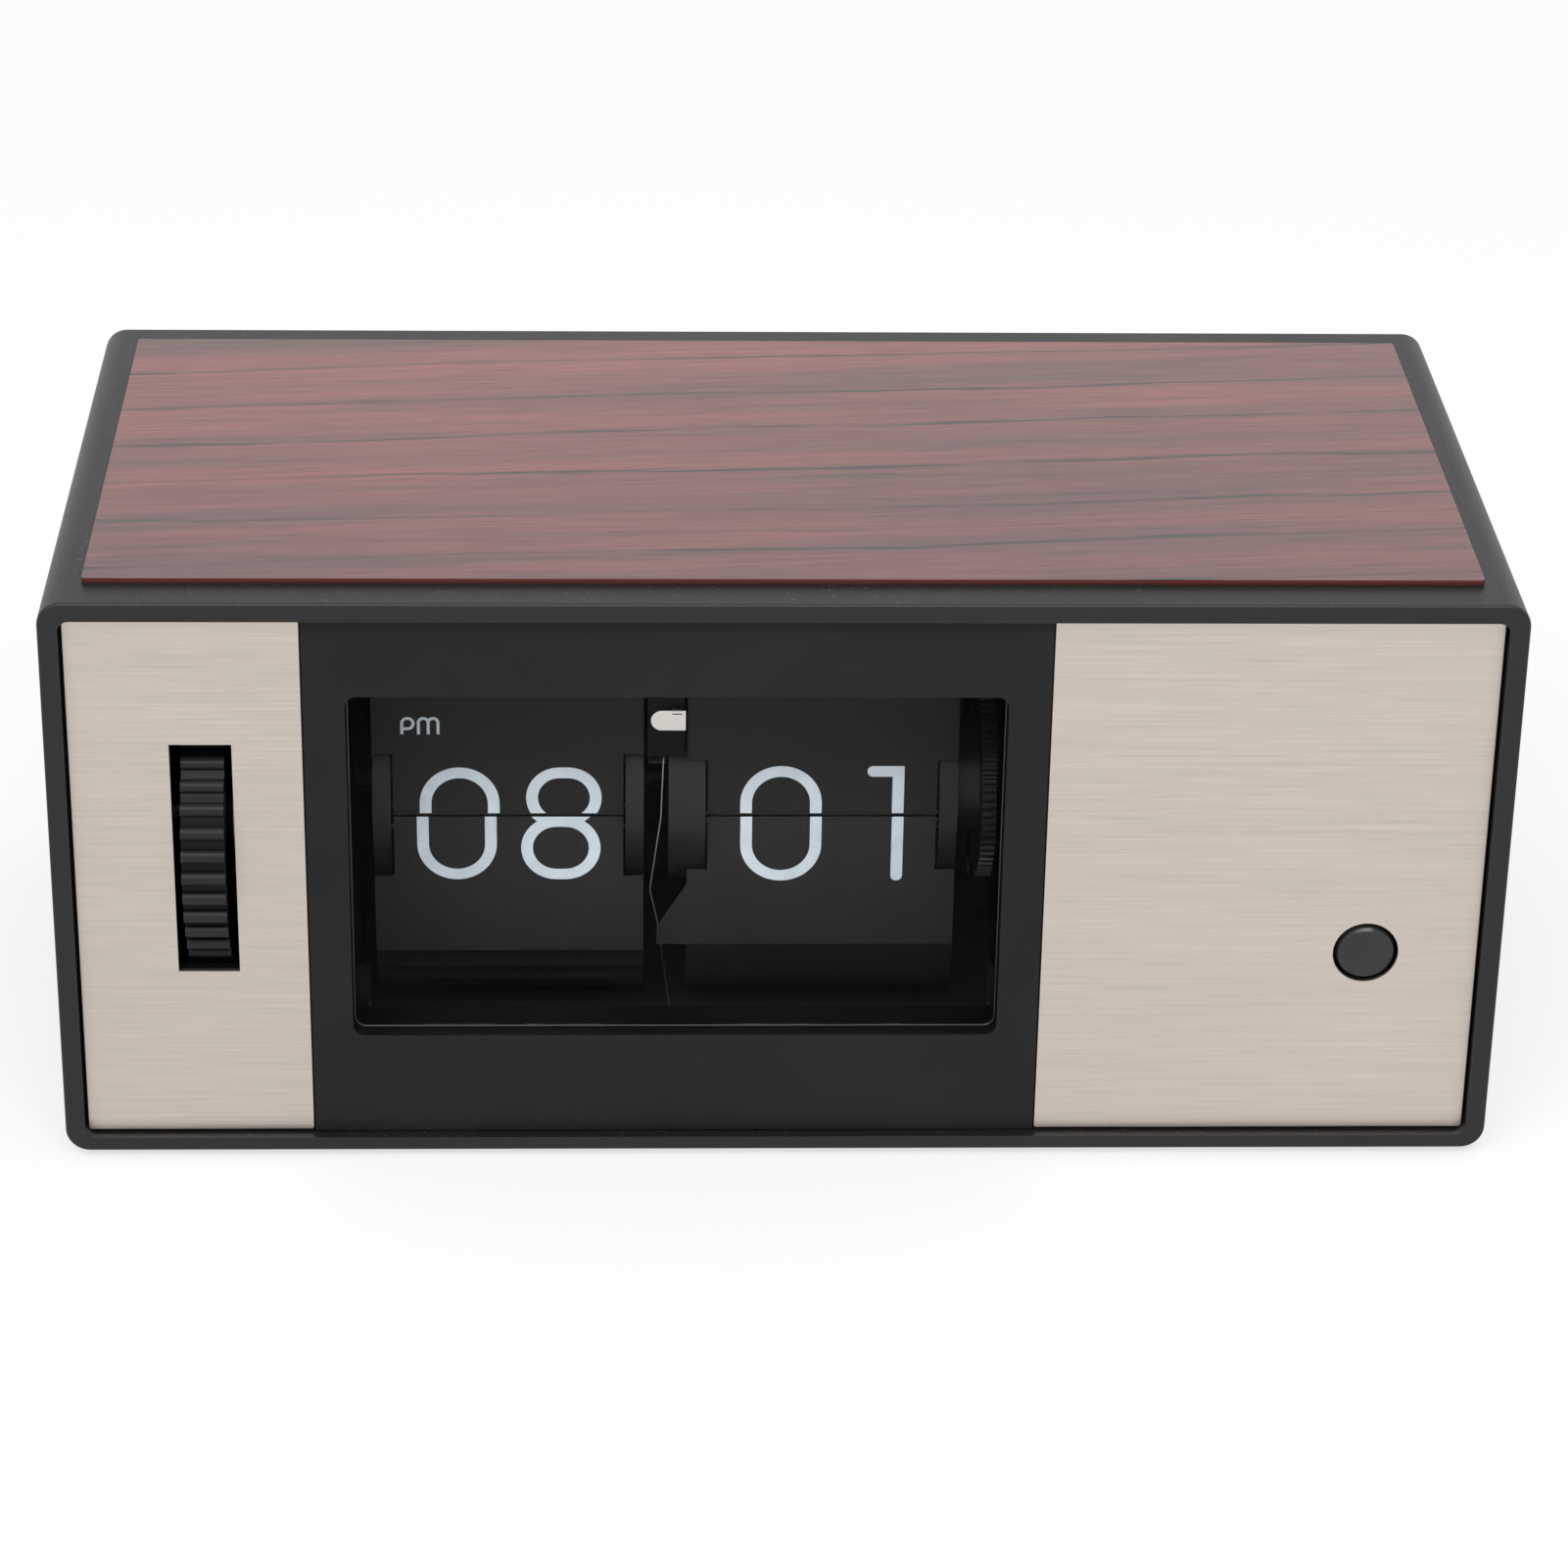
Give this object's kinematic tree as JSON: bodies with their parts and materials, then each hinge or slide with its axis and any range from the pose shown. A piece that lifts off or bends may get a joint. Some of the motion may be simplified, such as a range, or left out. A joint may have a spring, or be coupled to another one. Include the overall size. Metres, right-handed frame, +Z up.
{
  "type": "flip clock",
  "caption": "Low desk flip clock: moulded case with a wood-grain top, brushed trim, a setting wheel, a push button and leaf drums behind a clear window.",
  "frame": {"origin": "on the table, under the middle of the clock", "axes": "+X to the right seen from the front, +Y to the back, +Z up"},
  "size_m": [0.18, 0.094, 0.0778],
  "materials": {
    "case_plastic": "fine satin moulded plastic",
    "fascia_plastic": "fine matt moulded plastic",
    "brushed_trim": "champagne, brushed across",
    "wood_panel": "rosewood grain, satin lacquer",
    "lens_clear": "clear polished sheet",
    "foot_rubber": "matt",
    "control_plastic": "satin",
    "leaf_plastic": "matt printed sheet",
    "drum_plastic": "matt moulded plastic",
    "gear_plastic": "natural moulded plastic",
    "drive_gear_plastic": "dark moulded plastic",
    "shaft_steel": "turned steel",
    "spring_nickel": "nickel plated",
    "frame_plastic": "matt moulded plastic",
    "blackened_steel": "black oxide",
    "motor_steel": "zinc plated can",
    "board_laminate": "green laminate",
    "cell_jacket": "plain printed jacket",
    "contact_brass": "plated strip"
  },
  "bodies": {
    "clock": {"case_shell": "case_plastic", "rear_cover": "case_plastic", "fascia": "fascia_plastic", "left_trim_plate": "brushed_trim", "right_trim_plate": "brushed_trim", "top_panel": "wood_panel", "window_lens": "lens_clear", "rubber_feet": "foot_rubber", "minute_lower_leaf": "leaf_plastic", "minute_leaf_stack": "leaf_plastic", "hour_lower_leaf": "leaf_plastic", "hour_leaf_stack": "leaf_plastic", "idler_stud": "shaft_steel", "frame_pillars": "shaft_steel", "frame_screws": "shaft_steel", "motor_screws": "shaft_steel", "rear_cover_screws": "shaft_steel", "leaf_catch": "spring_nickel", "trip_wire": "spring_nickel", "battery_contact": "spring_nickel", "movement_base": "frame_plastic", "left_side_plate": "frame_plastic", "right_side_plate": "frame_plastic", "thumbwheel_bracket": "frame_plastic", "switch_block": "frame_plastic", "battery_tube": "frame_plastic", "catch_bracket": "blackened_steel", "motor": "motor_steel", "circuit_board": "board_laminate", "battery_cell": "cell_jacket", "switch_blade": "contact_brass"},
    "minute_drum": {"main_shaft": "blackened_steel", "minute_flange_left": "drum_plastic", "minute_flange_right": "drum_plastic", "trip_disc": "drum_plastic", "drive_gear": "drive_gear_plastic", "minute_pinion": "gear_plastic", "setting_gear": "gear_plastic"},
    "hour_drum": {"hour_sleeve": "blackened_steel", "hour_flange_left": "drum_plastic", "hour_flange_right": "drum_plastic", "hour_gear": "gear_plastic"},
    "idler": {"idler_cluster": "gear_plastic"},
    "setting_wheel": {"thumbwheel": "control_plastic", "thumbwheel_shaft": "shaft_steel", "thumbwheel_gear": "gear_plastic"},
    "motor_rotor": {"motor_shaft": "shaft_steel", "motor_pinion": "gear_plastic"},
    "minute_flap": {"minute_flip_leaf": "leaf_plastic"},
    "hour_flap": {"hour_flip_leaf": "leaf_plastic"},
    "push_button": {"button": "control_plastic"},
    "battery_lid": {"battery_door": "case_plastic", "door_contact": "contact_brass"}
  },
  "joints": [
    {"name": "minute_drum_spin", "type": "hinge", "parent": "clock", "child": "minute_drum", "pos_m": [0, -0.0085, 0.036], "axis": [1, 0, 0], "continuous": true},
    {"name": "hour_drum_spin", "type": "hinge", "parent": "clock", "child": "hour_drum", "pos_m": [0, -0.0085, 0.036], "axis": [1, 0, 0], "continuous": true},
    {"name": "idler_spin", "type": "hinge", "parent": "clock", "child": "idler", "pos_m": [0, 0.0055, 0.036], "axis": [1, 0, 0], "continuous": true},
    {"name": "setting_wheel_spin", "type": "hinge", "parent": "clock", "child": "setting_wheel", "pos_m": [0, -0.0277, 0.0406], "axis": [1, 0, 0], "continuous": true},
    {"name": "motor_rotor_spin", "type": "hinge", "parent": "clock", "child": "motor_rotor", "pos_m": [0, 0.00459, 0.02844], "axis": [1, 0, 0], "continuous": true},
    {"name": "minute_leaf_flip", "type": "hinge", "parent": "clock", "child": "minute_flap", "pos_m": [0, -0.02038, 0.0366], "axis": [1, 0, 0], "range_deg": [0, 178]},
    {"name": "hour_leaf_flip", "type": "hinge", "parent": "clock", "child": "hour_flap", "pos_m": [0, -0.02038, 0.0375], "axis": [1, 0, 0], "range_deg": [0, 178]},
    {"name": "button_press", "type": "slide", "parent": "clock", "child": "push_button", "axis": [0, 1, 0], "range_m": [0, 0.0015], "stiffness_N_per_m": 250, "deforming": ["switch_blade"]},
    {"name": "battery_door_slide", "type": "slide", "parent": "clock", "child": "battery_lid", "axis": [0, 1, 0], "range_m": [0, 0.03]}
  ],
  "couplings": [
    {"joint": "hour_drum_spin", "follows": "minute_drum_spin", "ratio": 0.041667},
    {"joint": "idler_spin", "follows": "minute_drum_spin", "ratio": -0.25},
    {"joint": "setting_wheel_spin", "follows": "minute_drum_spin", "ratio": -1},
    {"joint": "motor_rotor_spin", "follows": "minute_drum_spin", "ratio": -6}
  ]
}
